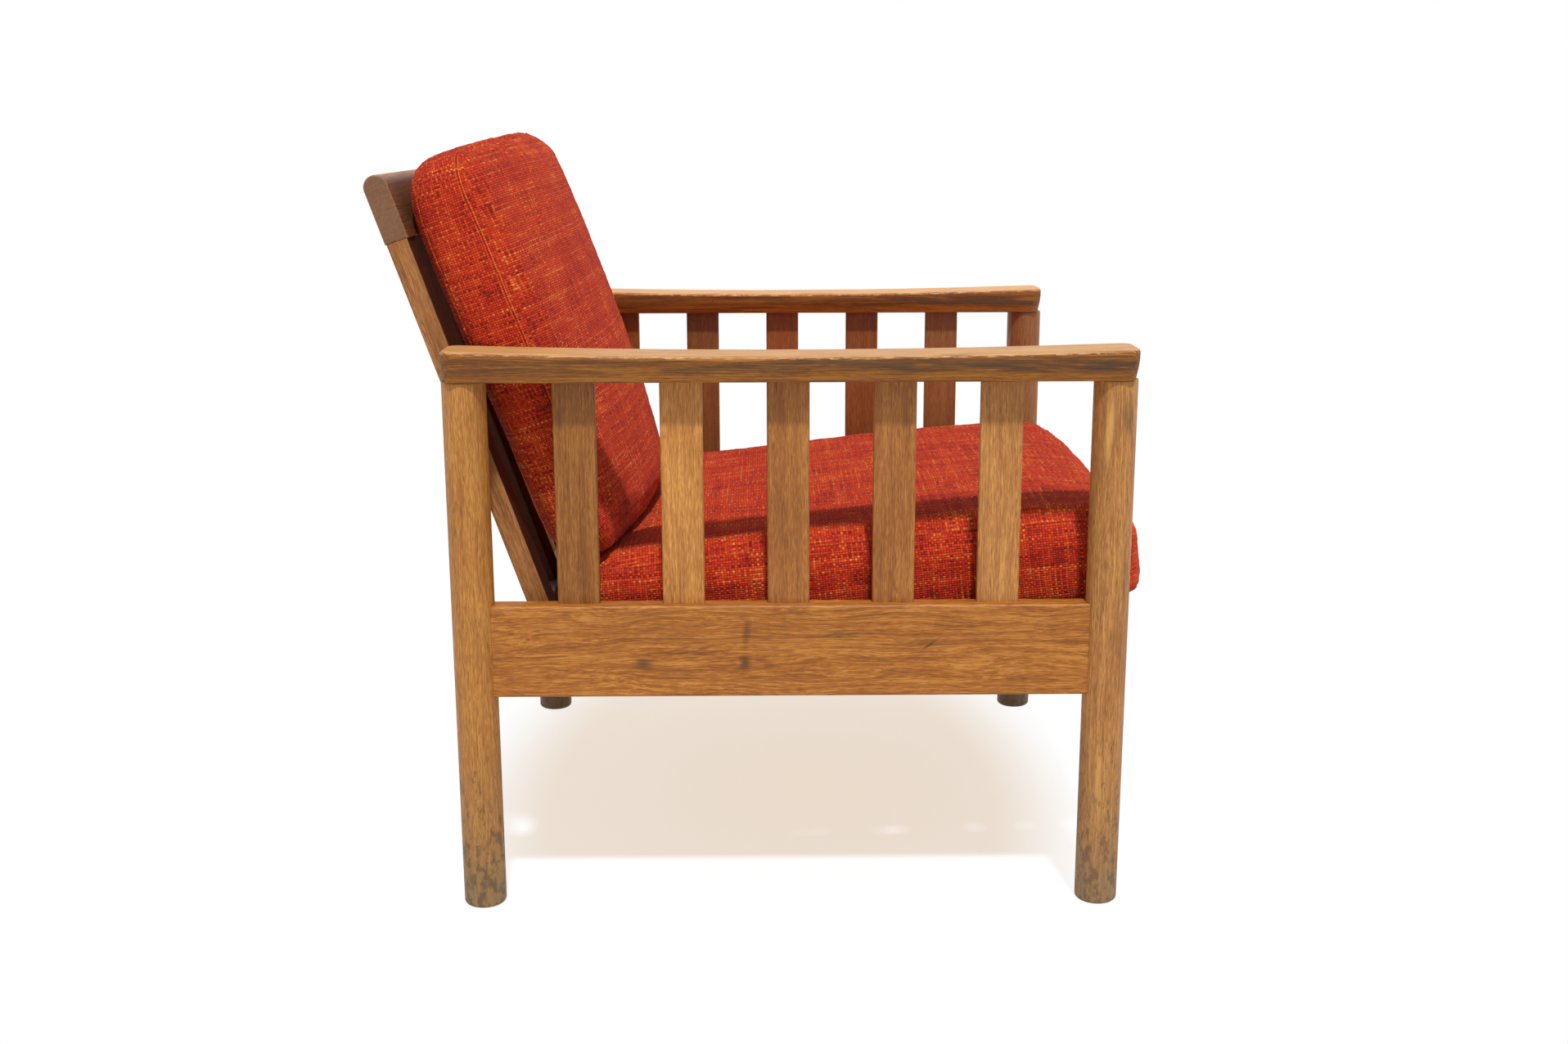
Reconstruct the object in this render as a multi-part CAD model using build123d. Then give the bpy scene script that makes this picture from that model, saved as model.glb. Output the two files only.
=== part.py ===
from build123d import *
from math import asin, cos, degrees, radians, sin, sqrt, tan
import os

# Low oak easy chair with slatted sides and two loose cushions.
# Millimetres, +Z up. The sitter faces -Y, and the sitter's left is at +X.
# The chair is built with Y = 0 midway between the front and rear legs, then moved so that the
# origin lies on the floor under the middle of the overall box.

# Stance
leg_spacing_across = 634.0
leg_spacing_deep = 650.0
arm_underside_height = 558.4

# Legs
leg_diameter = 44.0
foot_rounding = 4.5
leg_top_rounding = 1.8
leg_tenon_diameter = 25.0
leg_tenon_length = 20.0

# Fits: room round glued tenons, past their ends, and between soft and hard pieces
joint_room = 0.15
tenon_end_room = 1.0
soft_room = 0.3
overrun = 5.0

# Armrests: flat below, sides in two facets, top hollowed along its length. They overhang the legs' axes.
arm_front_overhang = 19.5
arm_rear_overhang = 19.5
arm_width = 57.0
arm_foot_width = 48.5
arm_facet_width = 55.5
arm_facet_height = 13.5
arm_ridge_height = 22.0
arm_end_height = 32.2
arm_hollow = 5.9
arm_end_slant = 3.5
arm_facet_end_slant = 1.0
arm_corner_radius = 13.0
arm_top_rounding = 4.0
arm_lower_rounding = 1.6

# Side rails
rail_thickness = 22.0
rail_height = 97.0
rail_underside_height = 230.3
rail_outer_rounding = 3.0
rail_inner_bevel = 0.4
rail_tenon_thickness = 10.0
rail_tenon_shoulder = 10.0
rail_tenon_end_from_axis = 7.0

# Side slats: the first and last stand this far from the leg axes, the others evenly between
side_slat_count = 5
slat_width = 43.0
slat_thickness = 11.0
slat_edge_rounding = 2.4
slat_setback = 10.5
first_slat_from_rear_leg = 108.4
last_slat_from_front_leg = 112.7
slat_tenon_length = 10.0
slat_tenon_side_shoulder = 4.0
slat_tenon_face_shoulder = 2.0

# Front rail
front_rail_thickness = 22.0
front_rail_below_deck = 10.2
front_rail_rounding = 3.0

# Back frame: it leans back, passes between the rear legs and is bolted to them below the armrests
back_angle = 18.93
back_bolt_below_arm = 55.5
back_foot_depth = 92.0
back_gap_to_arm = 1.0
stile_width = 40.0
stile_thickness = 22.0
stile_edge_rounding = 1.5
crest_thickness = 25.0
crest_depth = 68.0
crest_apex_above_rail_top = 450.6
crest_end_rounding = 2.0
back_slat_count = 4
back_rail_height = 60.0
back_rail_above_foot = 17.0
stile_tenon_length = 25.0
stile_tenon_shoulder = 6.0
back_rail_tenon_length = 15.0
back_rail_tenon_shoulder = 6.0
rear_rail_thickness = 22.0
rear_rail_height = 60.0
rear_rail_tenon_length = 12.0
rear_rail_tenon_shoulder = 6.0

# Bolts, spacers and screws of the back
back_bolt_diameter = 6.0
back_bolt_head_diameter = 13.0
back_bolt_head_height = 3.2
back_bolt_grip = 24.0
back_spacer_diameter = 18.0
back_screw_diameter = 5.0
back_screw_head_diameter = 10.5
back_screw_head_height = 2.6
back_screw_bite = 15.0
back_screw_spacing = 32.0

# Seat deck: two bearers carry rubber straps and rise to the front
deck_angle = 6.0
deck_front_below_rail_top = 14.8
bearer_thickness = 18.0
bearer_height = 20.0
bearer_rear_room = 6.0
bearer_front_room = 2.0
bearer_groove_depth = 9.0
bearer_groove_from_rail = 6.0
strap_count = 6
strap_width = 50.0
strap_thickness = 2.4
strap_end_distance = 36.0
clip_thickness = 0.9
clip_height = 6.5
bearer_screw_count = 4
bearer_screw_diameter = 4.0
bearer_screw_head_diameter = 8.0
bearer_screw_head_height = 2.0
bearer_screw_bite = 12.0
bearer_screw_end_distance = 45.0

# Seat cushion, measured along the deck
seat_room_to_legs = 5.0
seat_front_overhang = 55.0
seat_rear_gap = 4.0
seat_thickness = 120.0
seat_corner_radius = 52.0
seat_side_bow = 6.0
seat_end_bow = 3.0
seat_crown_across = 2800.0
seat_crown_along = 9000.0
seat_seam_rounding = 42.0
seat_under_rounding = 18.0

# Back cushion, measured along the back frame
back_cushion_room_to_arms = 1.0
back_cushion_height = 450.0
back_cushion_above_crest = 4.7
back_cushion_thickness = 130.0
back_cushion_corner_radius = 42.0
back_cushion_side_bow = 5.0
back_cushion_end_bow = 5.0
back_cushion_crown_across = 900.0
back_cushion_crown_along = 2200.0
back_cushion_seam_rounding = 30.0
back_cushion_rear_rounding = 34.0

# Sizes that follow from those above
leg_radius = leg_diameter / 2
side_x = leg_spacing_across / 2
rear_leg_y = leg_spacing_deep / 2
front_leg_y = -rear_leg_y
arm_length = leg_spacing_deep + arm_front_overhang + arm_rear_overhang
rail_top_height = rail_underside_height + rail_height
deck_front_height = rail_top_height - deck_front_below_rail_top
front_rail_height = deck_front_height - front_rail_below_deck - rail_underside_height
rail_inner_x = side_x - rail_thickness / 2
slat_x = side_x + rail_thickness / 2 - slat_setback - slat_thickness / 2
stile_outer_x = side_x - arm_width / 2 - back_gap_to_arm
stile_inner_x = stile_outer_x - stile_width
seat_width = 2 * (side_x - leg_radius - seat_room_to_legs)
back_cushion_width = 2 * (side_x - arm_width / 2 - back_cushion_room_to_arms)
crest_foot = crest_apex_above_rail_top - crest_depth
back_rail_foot = back_rail_above_foot - back_foot_depth
back_rail_top = back_rail_foot + back_rail_height
lean = radians(back_angle)
tilt = radians(deck_angle)
back_cushion_top = crest_apex_above_rail_top + back_cushion_above_crest
back_cushion_foot = back_cushion_top - back_cushion_height
back_bolt_height = arm_underside_height - back_bolt_below_arm
stile_centre_forward = (back_bolt_height - rail_top_height) * tan(lean)
back_foot_forward = stile_centre_forward - stile_thickness / 2 / cos(lean)

# Places on the back: X across, Y up the slope from the level of the side rails' tops, Z forward from
# the stiles' back faces
back_place = Plane(
    origin=(0, rear_leg_y - back_foot_forward, rail_top_height),
    x_dir=(1, 0, 0), z_dir=(0, -cos(lean), sin(lean))).location

# Places on the seat deck: X across, Y to the rear from over the front legs' axes, Z up from the straps
deck_place = Plane(
    origin=(0, front_leg_y, deck_front_height),
    x_dir=(1, 0, 0), z_dir=(0, sin(tilt), cos(tilt))).location

pieces = {}


def block(x_range, y_range, z_range):
    # A box given by the places of its faces
    size = [high - low for low, high in (x_range, y_range, z_range)]
    middle = [(high + low) / 2 for low, high in (x_range, y_range, z_range)]
    return Pos(*middle) * Box(*size)


def about(middle, size):
    # The two ends of a size laid evenly about a place
    return middle - size / 2, middle + size / 2


def bar_x(diameter, x_range, y, z):
    # A round bar along X
    x0, x1 = x_range
    return Pos((x0 + x1) / 2, y, z) * Rot(0, 90, 0) * Cylinder(diameter / 2, x1 - x0)


def spread(first, last, count):
    # Evenly spaced places
    return [first + (last - first) * number / (count - 1) for number in range(count)]


def on_both_sides(name, piece):
    # Keeps a piece of the sitter's right and its mirror image
    pieces["right_" + name] = piece
    pieces["left_" + name] = mirror(piece, about=Plane.YZ)


def leg_space(y, room):
    # What a leg of the sitter's right takes of the pieces that are scribed to it
    return Pos(-side_x, y, arm_underside_height / 2) * Cylinder(leg_radius + room, arm_underside_height)


# Side slats of the sitter's right
slat_ys = spread(rear_leg_y - first_slat_from_rear_leg, front_leg_y + last_slat_from_front_leg, side_slat_count)


def slat_tenon(x, y, z_range, room):
    width = slat_width - 2 * slat_tenon_side_shoulder + 2 * room
    thickness = slat_thickness - 2 * slat_tenon_face_shoulder + 2 * room
    return block(about(x, thickness), about(y, width), z_range)


def side_slat(y):
    slat = block(about(-slat_x, slat_thickness), about(y, slat_width), (rail_top_height, arm_underside_height))
    slat = fillet(slat.edges().filter_by(Axis.Z), slat_edge_rounding)
    ends = (rail_top_height - slat_tenon_length, arm_underside_height + slat_tenon_length)
    return slat + slat_tenon(-slat_x, y, ends, 0)


for number, y in enumerate(slat_ys, start=1):
    on_both_sides(f"side_slat_{number}", side_slat(y))


# Rear rail: leans with the back, and its tenons enter the side rails
rear_rail_range = (-back_foot_depth, -back_foot_depth + rear_rail_height)


def rear_rail_tenon(room):
    low, high = rear_rail_range
    reach = rail_inner_x + rear_rail_tenon_length
    return back_place * block(
        (-reach - room, reach + room),
        (low + rear_rail_tenon_shoulder - room, high - rear_rail_tenon_shoulder + room),
        (rear_rail_tenon_shoulder - rear_rail_thickness - room, -rear_rail_tenon_shoulder + room))


def back_screw_places():
    middle = -back_foot_depth + rear_rail_height / 2
    xs = [-stile_outer_x + stile_width / 2, stile_outer_x - stile_width / 2]
    return [(x, y) for x in xs for y in about(middle, back_screw_spacing)]


def back_screw_hole(x, y, z_range):
    z0, z1 = z_range
    return back_place * Pos(x, y, (z0 + z1) / 2) * Cylinder(back_screw_diameter / 2 + joint_room, z1 - z0)


def rear_rail():
    rail = block((-rail_inner_x, rail_inner_x), rear_rail_range, (-rear_rail_thickness, 0))
    rail = back_place * rail + rear_rail_tenon(0)
    for x, y in back_screw_places():
        rail -= back_screw_hole(x, y, (-rear_rail_thickness - overrun, overrun))
    return rail


def back_screw(x, y):
    head = Pos(x, y, -rear_rail_thickness - back_screw_head_height / 2) * Cylinder(
        back_screw_head_diameter / 2, back_screw_head_height)
    head = fillet(head.edges().sort_by(Axis.Z)[0], back_screw_head_height / 2)
    z0, z1 = -rear_rail_thickness, back_screw_bite
    shank = Pos(x, y, (z0 + z1) / 2) * Cylinder(back_screw_diameter / 2, z1 - z0)
    return back_place * (head + shank)


pieces["rear_rail"] = rear_rail()
pieces["back_foot_screws"] = Compound([back_screw(x, y) for x, y in back_screw_places()])


# Seat bearers, with grooves for the straps' clips and holes for their own screws
def back_face_on_deck(height):
    # How far to the rear the front face of the back frame lies, at a height over the deck
    face_y = rear_leg_y - back_foot_forward - stile_thickness / cos(lean)
    rise = (deck_front_height - rail_top_height + height * cos(tilt)) * tan(lean)
    return (face_y - front_leg_y + rise - height * sin(tilt)) / (cos(tilt) + sin(tilt) * tan(lean))


bearer_front = leg_radius + bearer_front_room
bearer_rear = back_face_on_deck(0) - bearer_rear_room
bearer_top = -strap_thickness
groove_width = strap_thickness + 2 * clip_thickness + 2 * joint_room
groove_x = rail_inner_x - bearer_groove_from_rail - groove_width / 2
groove_floor = bearer_top - bearer_groove_depth
bearer_screw_ys = spread(
    bearer_front + bearer_screw_end_distance, bearer_rear - bearer_screw_end_distance, bearer_screw_count)
bearer_screw_z = (groove_floor + bearer_top - bearer_height) / 2
bearer_inner_x = rail_inner_x - bearer_thickness


def bearer_screw_hole(y, room):
    # Bore in bearer and side rail of the sitter's right
    x_range = (-rail_inner_x - bearer_screw_bite - room, -bearer_inner_x + overrun)
    return deck_place * bar_x(bearer_screw_diameter + 2 * room, x_range, y, bearer_screw_z)


def bearer_screw(y):
    shank_range = (-rail_inner_x - bearer_screw_bite, -bearer_inner_x)
    head_range = (-bearer_inner_x, -bearer_inner_x + bearer_screw_head_height)
    head = bar_x(bearer_screw_head_diameter, head_range, y, bearer_screw_z)
    head = fillet(head.edges().sort_by(Axis.X)[-1], bearer_screw_head_height / 2)
    return deck_place * (head + bar_x(bearer_screw_diameter, shank_range, y, bearer_screw_z))


def seat_bearer():
    bearer = block(
        (-rail_inner_x, -bearer_inner_x), (bearer_front, bearer_rear), (bearer_top - bearer_height, bearer_top))
    bearer -= block(
        about(-groove_x, groove_width), (bearer_front - overrun, bearer_rear + overrun),
        (groove_floor, bearer_top + overrun))
    bearer = deck_place * bearer
    for y in bearer_screw_ys:
        bearer -= bearer_screw_hole(y, joint_room)
    return bearer


on_both_sides("seat_bearer", seat_bearer())
right_bearer_screws = [bearer_screw(y) for y in bearer_screw_ys]
left_bearer_screws = [mirror(screw, about=Plane.YZ) for screw in right_bearer_screws]
pieces["bearer_screws"] = Compound(right_bearer_screws + left_bearer_screws)


# Straps across the seat, their ends turned down into the grooves and held in folded clips
strap_end = groove_floor + clip_thickness
strap_ys = spread(bearer_front + strap_end_distance, bearer_rear - strap_end_distance, strap_count)


def seat_strap(y):
    outer_x = groove_x + strap_thickness / 2
    inner_x = groove_x - strap_thickness / 2
    strap = block((-outer_x, outer_x), about(y, strap_width), (strap_end, 0))
    strap -= block(
        (-inner_x, inner_x), about(y, strap_width + 2 * overrun), (strap_end - overrun, -strap_thickness))
    bends = strap.edges().filter_by(Axis.Y).group_by(Axis.Z)[-1]
    return deck_place * fillet(bends, strap_thickness)


def strap_clip(x, y):
    clip = block(
        about(x, strap_thickness + 2 * clip_thickness), about(y, strap_width),
        (groove_floor, groove_floor + clip_height))
    clip -= block(about(x, strap_thickness), about(y, strap_width + 2 * overrun), (strap_end, 0))
    return deck_place * clip


for number, y in enumerate(strap_ys, start=1):
    pieces[f"seat_strap_{number}"] = seat_strap(y)
pieces["strap_clips"] = Compound([strap_clip(x, y) for x in (-groove_x, groove_x) for y in strap_ys])


# Side rails: scribed to the round legs and mortised for slats and rear rail
def side_rail_tenon(y_range, room):
    z_range = (rail_underside_height + rail_tenon_shoulder - room, rail_top_height - rail_tenon_shoulder + room)
    return block(about(-side_x, rail_tenon_thickness + 2 * room), y_range, z_range)


def side_rail():
    rail = block(
        about(-side_x, rail_thickness), (front_leg_y, rear_leg_y), (rail_underside_height, rail_top_height))
    outer_edges = rail.edges().filter_by(Axis.Y).group_by(Axis.X)[0]
    rail = fillet(outer_edges, rail_outer_rounding)
    inner_edges = rail.edges().filter_by(Axis.Y).group_by(Axis.X)[-1]
    rail = chamfer(inner_edges, rail_inner_bevel)
    for y in (front_leg_y, rear_leg_y):
        rail -= leg_space(y, joint_room)
    rail += side_rail_tenon((front_leg_y + rail_tenon_end_from_axis, front_leg_y + leg_diameter), 0)
    rail += side_rail_tenon((rear_leg_y - leg_diameter, rear_leg_y - rail_tenon_end_from_axis), 0)
    for y in slat_ys:
        floor = rail_top_height - slat_tenon_length - tenon_end_room
        rail -= slat_tenon(-slat_x, y, (floor, rail_top_height + overrun), joint_room)
    for y in bearer_screw_ys:
        rail -= bearer_screw_hole(y, joint_room)
    return rail - rear_rail_tenon(joint_room)


on_both_sides("side_rail", side_rail())


# Front rail: tenoned into the front legs, flush below with the side rails
def front_rail_tenon(room):
    reach = side_x - rail_tenon_end_from_axis
    z_range = (
        rail_underside_height + rail_tenon_shoulder - room,
        rail_underside_height + front_rail_height - rail_tenon_shoulder + room)
    return block((-reach, reach), about(front_leg_y, rail_tenon_thickness + 2 * room), z_range)


def front_rail():
    rail = block(
        (-side_x, side_x), about(front_leg_y, front_rail_thickness),
        (rail_underside_height, rail_underside_height + front_rail_height))
    rail = fillet(rail.edges().filter_by(Axis.X).group_by(Axis.Y)[0], front_rail_rounding)
    right_leg = leg_space(front_leg_y, joint_room)
    rail -= right_leg
    rail -= mirror(right_leg, about=Plane.YZ)
    return rail + front_rail_tenon(0)


pieces["front_rail"] = front_rail()


# Back bolts: through stile and spacer into the rear leg
def back_bolt_hole(room):
    x_range = (-side_x - leg_radius + back_bolt_grip / 2, -stile_inner_x + overrun)
    return bar_x(back_bolt_diameter + 2 * room, x_range, rear_leg_y, back_bolt_height)


def back_bolt():
    leg_face_x = -side_x + leg_radius
    shank_range = (leg_face_x - back_bolt_grip, -stile_inner_x)
    shank = bar_x(back_bolt_diameter, shank_range, rear_leg_y, back_bolt_height)
    head_range = (-stile_inner_x, -stile_inner_x + back_bolt_head_height)
    head = bar_x(back_bolt_head_diameter, head_range, rear_leg_y, back_bolt_height)
    return shank + fillet(head.edges().sort_by(Axis.X)[-1], back_bolt_head_height / 2)


def back_spacer():
    spacer = bar_x(back_spacer_diameter, (-side_x, -stile_outer_x), rear_leg_y, back_bolt_height)
    return spacer - leg_space(rear_leg_y, 0) - back_bolt_hole(joint_room)


on_both_sides("back_spacer", back_spacer())
right_bolt = back_bolt()
pieces["back_side_bolts"] = Compound([right_bolt, mirror(right_bolt, about=Plane.YZ)])


# Legs: straight and round, with a round tenon up into the armrest
def leg_tenon(y, length, room):
    z = arm_underside_height + length / 2
    return Pos(-side_x, y, z) * Cylinder(leg_tenon_diameter / 2 + room, length)


def leg(y):
    post = Pos(-side_x, y, arm_underside_height / 2) * Cylinder(leg_radius, arm_underside_height)
    rims = post.edges().filter_by(GeomType.CIRCLE).sort_by(Axis.Z)
    post = fillet(rims[0], foot_rounding)
    post = fillet(post.edges().filter_by(GeomType.CIRCLE).sort_by(Axis.Z)[-1], leg_top_rounding)
    inward = 1 if y < 0 else -1
    mortise_ends = sorted((y + inward * (rail_tenon_end_from_axis - tenon_end_room), y + inward * leg_diameter))
    return post + leg_tenon(y, leg_tenon_length, 0) - side_rail_tenon(mortise_ends, joint_room)


front_leg = leg(front_leg_y) - Pos(-tenon_end_room, 0, 0) * front_rail_tenon(joint_room)
rear_leg = leg(rear_leg_y) - back_bolt_hole(joint_room)
on_both_sides("front_leg", front_leg)
on_both_sides("rear_leg", rear_leg)


# Armrests: a faceted blank, its top hollowed by one long arc, its upper edge rounded all round
def arm_outline(width, end_slant, height):
    outline = RectangleRounded(width, arm_length - 2 * end_slant, arm_corner_radius - end_slant)
    return Pos(0, 0, height) * outline


def armrest():
    blank = loft([
        arm_outline(arm_foot_width, arm_end_slant, 0),
        arm_outline(arm_facet_width, arm_facet_end_slant, arm_facet_height),
        arm_outline(arm_width, 0, arm_ridge_height)], ruled=True)
    blank += extrude(arm_outline(arm_width, 0, arm_ridge_height), arm_end_height)
    half_length = arm_length / 2 + overrun
    top_line = ThreePointArc(
        (-half_length, arm_end_height), (0, arm_end_height - arm_hollow), (half_length, arm_end_height))
    side_view = make_face(top_line + Polyline(
        (half_length, arm_end_height), (half_length, -overrun), (-half_length, -overrun),
        (-half_length, arm_end_height)))
    arm = blank & extrude(Plane.YZ * side_view, arm_width, both=True)
    hollow = arm.faces().filter_by(GeomType.CYLINDER).sort_by(SortBy.AREA)[-1]
    arm = fillet(hollow.edges(), arm_top_rounding)
    arm = fillet(arm.faces().sort_by(Axis.Z)[0].edges(), arm_lower_rounding)
    middle_y = rear_leg_y + arm_rear_overhang - arm_length / 2
    arm = Pos(-side_x, middle_y, arm_underside_height) * arm
    for y in (front_leg_y, rear_leg_y):
        arm -= leg_tenon(y, leg_tenon_length + tenon_end_room, joint_room)
    for y in slat_ys:
        ceiling = arm_underside_height + slat_tenon_length + tenon_end_room
        arm -= slat_tenon(-slat_x, y, (arm_underside_height - overrun, ceiling), joint_room)
    return arm


on_both_sides("armrest", armrest())


# Back frame: crest rail lying across two stiles, bottom rail and slats between them
def stile_tenon(room):
    tenon_width = stile_width - 2 * stile_tenon_shoulder + 2 * room
    tenon_thickness = stile_thickness - 2 * stile_tenon_shoulder + 2 * room
    return block(
        about(-stile_outer_x + stile_width / 2, tenon_width),
        (crest_foot - stile_tenon_length, crest_foot + stile_tenon_length + room),
        about(stile_thickness / 2, tenon_thickness))


def back_slat_tenon(x, y_range, room):
    width = slat_width - 2 * slat_tenon_side_shoulder + 2 * room
    thickness = slat_thickness - 2 * slat_tenon_face_shoulder + 2 * room
    return block(about(x, width), y_range, about(stile_thickness / 2, thickness))


back_slat_gap = (2 * stile_inner_x - back_slat_count * slat_width) / (back_slat_count + 1)
back_slat_xs = spread(
    -stile_inner_x + back_slat_gap + slat_width / 2, stile_inner_x - back_slat_gap - slat_width / 2,
    back_slat_count)


def back_slat(x):
    slat = block(about(x, slat_width), (back_rail_top, crest_foot), about(stile_thickness / 2, slat_thickness))
    slat = fillet(slat.edges().filter_by(Axis.Y), slat_edge_rounding)
    tenon_range = (back_rail_top - slat_tenon_length, crest_foot + slat_tenon_length)
    return back_place * (slat + back_slat_tenon(x, tenon_range, 0))


def back_rail_tenon(room):
    reach = stile_inner_x + back_rail_tenon_length
    return block(
        (-reach - room, reach + room),
        (back_rail_foot + back_rail_tenon_shoulder - room, back_rail_top - back_rail_tenon_shoulder + room),
        (back_rail_tenon_shoulder - room, stile_thickness - back_rail_tenon_shoulder + room))


def back_bottom_rail():
    rail = block((-stile_inner_x, stile_inner_x), (back_rail_foot, back_rail_top), (0, stile_thickness))
    rail = fillet(rail.edges().filter_by(Axis.X), stile_edge_rounding)
    rail += back_rail_tenon(0)
    for x in back_slat_xs:
        floor = back_rail_top - slat_tenon_length - tenon_end_room
        rail -= back_slat_tenon(x, (floor, back_rail_top + overrun), joint_room)
    return back_place * rail


def crest_rail():
    # Its face is set evenly over the stiles' thickness, and its top is a half circle
    low_z, high_z = about(stile_thickness / 2, crest_thickness)
    rail = block(
        (-stile_outer_x, stile_outer_x), (crest_foot, crest_apex_above_rail_top - crest_thickness / 2),
        (low_z, high_z))
    top_y = crest_apex_above_rail_top - crest_thickness / 2
    rail += bar_x(crest_thickness, (-stile_outer_x, stile_outer_x), top_y, stile_thickness / 2)
    rail = fillet(rail.faces().sort_by(Axis.X)[0].edges(), crest_end_rounding)
    rail = fillet(rail.faces().sort_by(Axis.X)[-1].edges(), crest_end_rounding)
    rail -= stile_tenon(joint_room)
    rail -= mirror(stile_tenon(joint_room), about=Plane.YZ)
    for x in back_slat_xs:
        ceiling = crest_foot + slat_tenon_length + tenon_end_room
        rail -= back_slat_tenon(x, (crest_foot - overrun, ceiling), joint_room)
    return back_place * rail


def back_stile():
    stile = block((-stile_outer_x, -stile_inner_x), (-back_foot_depth, crest_foot), (0, stile_thickness))
    stile = fillet(stile.edges().filter_by(Axis.Y), stile_edge_rounding)
    stile = stile + stile_tenon(0) - back_rail_tenon(joint_room)
    stile = back_place * stile - back_bolt_hole(joint_room)
    for x, y in back_screw_places():
        stile -= back_screw_hole(x, y, (-overrun, back_screw_bite + tenon_end_room))
    return stile


on_both_sides("back_stile", back_stile())
pieces["crest_rail"] = crest_rail()
pieces["back_bottom_rail"] = back_bottom_rail()
for number, x in enumerate(back_slat_xs, start=1):
    pieces[f"back_slat_{number}"] = back_slat(x)


# Cushions: a plan with bowed sides and rounded corners, its upper face crowned by one radius across and
# another along, with full roundings along the seams
def cushion_plan(width, length, side_bow, end_bow):
    x, y = width / 2, length / 2
    corner_x, corner_y = x - side_bow, y - end_bow
    front = ThreePointArc((-corner_x, -corner_y), (0, -y), (corner_x, -corner_y))
    left = ThreePointArc((corner_x, -corner_y), (x, 0), (corner_x, corner_y))
    rear = ThreePointArc((corner_x, corner_y), (0, y), (-corner_x, corner_y))
    right = ThreePointArc((-corner_x, corner_y), (-x, 0), (-corner_x, -corner_y))
    return make_face(front + left + rear + right)


def crowned_block(width, length, thickness, crown_across, crown_along):
    # Larger than the cushion all round, so that only its crown cuts
    x = width / 2 + thickness
    edge = thickness - crown_across + sqrt(crown_across ** 2 - x ** 2)
    crown = ThreePointArc((-x, edge), (0, thickness), (x, edge))
    sides = Polyline((x, edge), (x, -thickness), (-x, -thickness), (-x, edge))
    axis = Axis((0, 0, thickness - crown_along), (1, 0, 0))
    half_turn = degrees(asin((length / 2 + thickness) / crown_along))
    return revolve(make_face(Plane.XZ * (crown + sides)).rotate(axis, -half_turn), axis, 2 * half_turn)


def cushion(plan, thickness, corner_radius, crown, seam_rounding, under_rounding):
    body = extrude(plan, thickness)
    body = fillet(body.edges().filter_by(Axis.Z), corner_radius) & crown
    body = fillet(body.faces().filter_by(GeomType.TORUS)[0].edges(), seam_rounding)
    return fillet(body.faces().sort_by(Axis.Z)[0].edges(), under_rounding)


def seat_cushion():
    rear = back_face_on_deck(seat_under_rounding) - seat_rear_gap
    length = rear + seat_front_overhang
    crown = crowned_block(seat_width, length, seat_thickness, seat_crown_across, seat_crown_along)
    body = cushion(
        cushion_plan(seat_width, length, seat_side_bow, seat_end_bow), seat_thickness, seat_corner_radius,
        crown, seat_seam_rounding, seat_under_rounding)
    body = deck_place * Pos(0, rear - length / 2, soft_room) * body
    # The back cushion stands on the seat's rear and presses it flat there
    foot = back_place * Pos(0, back_cushion_foot - soft_room, 0) * Rot(-90, 0, 0)
    return split(body, bisect_by=Plane(foot), keep=Keep.BOTTOM)


def back_cushion():
    crown = crowned_block(
        back_cushion_width, back_cushion_height, back_cushion_thickness, back_cushion_crown_across,
        back_cushion_crown_along)
    body = cushion(
        cushion_plan(back_cushion_width, back_cushion_height, back_cushion_side_bow, back_cushion_end_bow),
        back_cushion_thickness, back_cushion_corner_radius, crown, back_cushion_seam_rounding,
        back_cushion_rear_rounding)
    face = (stile_thickness + crest_thickness) / 2 + soft_room
    return back_place * Pos(0, back_cushion_top - back_cushion_height / 2, face) * body


pieces["seat_cushion"] = seat_cushion()
pieces["back_cushion"] = back_cushion()


# The origin goes to the floor under the middle of the overall box
overall = Compound(list(pieces.values())).bounding_box()
to_origin = Pos(-overall.center().X, -overall.center().Y, -overall.min.Z)
os.makedirs("parts", exist_ok=True)
for name, piece in pieces.items():
    export_step(to_origin * piece, f"parts/{name}.step")
print("overall", overall.size, "moved by", to_origin.position)
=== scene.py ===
import math
from dataclasses import dataclass
from functools import partial

import bmesh
import bpy
import numpy as np
from mathutils import Matrix, Vector, noise


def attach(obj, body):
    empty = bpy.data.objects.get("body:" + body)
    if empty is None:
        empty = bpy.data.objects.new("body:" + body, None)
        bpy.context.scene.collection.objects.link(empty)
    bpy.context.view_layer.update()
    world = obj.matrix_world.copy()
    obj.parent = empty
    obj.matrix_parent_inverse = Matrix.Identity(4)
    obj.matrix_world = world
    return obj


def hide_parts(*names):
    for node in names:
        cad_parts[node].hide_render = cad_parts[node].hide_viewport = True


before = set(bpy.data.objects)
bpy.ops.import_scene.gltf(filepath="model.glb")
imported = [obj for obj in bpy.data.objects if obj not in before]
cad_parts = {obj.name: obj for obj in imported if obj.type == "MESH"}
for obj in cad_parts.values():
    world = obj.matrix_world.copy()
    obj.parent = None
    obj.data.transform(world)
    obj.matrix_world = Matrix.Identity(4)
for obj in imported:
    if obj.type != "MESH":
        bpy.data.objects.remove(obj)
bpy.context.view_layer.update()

bl_info = {
    "name": "Slatted Oak Easy Chair",
    "version": (1, 0, 0),
    "blender": (4, 5, 0),
    "location": "View3D > Sidebar > Easy Chair",
    "description": "Dresses the chair's frame in oiled oak and makes its two tweed cushions",
    "category": "Add Mesh",
}

# Slopes that the frame fixes
BACK_LEAN = math.radians(18.93)
DECK_SLOPE = math.radians(6.0)


def linear(colour):
    """A hex colour as linear red, green and blue."""
    channels = [int(colour[i:i + 2], 16) / 255 for i in (1, 3, 5)]
    return tuple(c / 12.92 if c <= 0.04045 else ((c + 0.055) / 1.055) ** 2.4 for c in channels)


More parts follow.
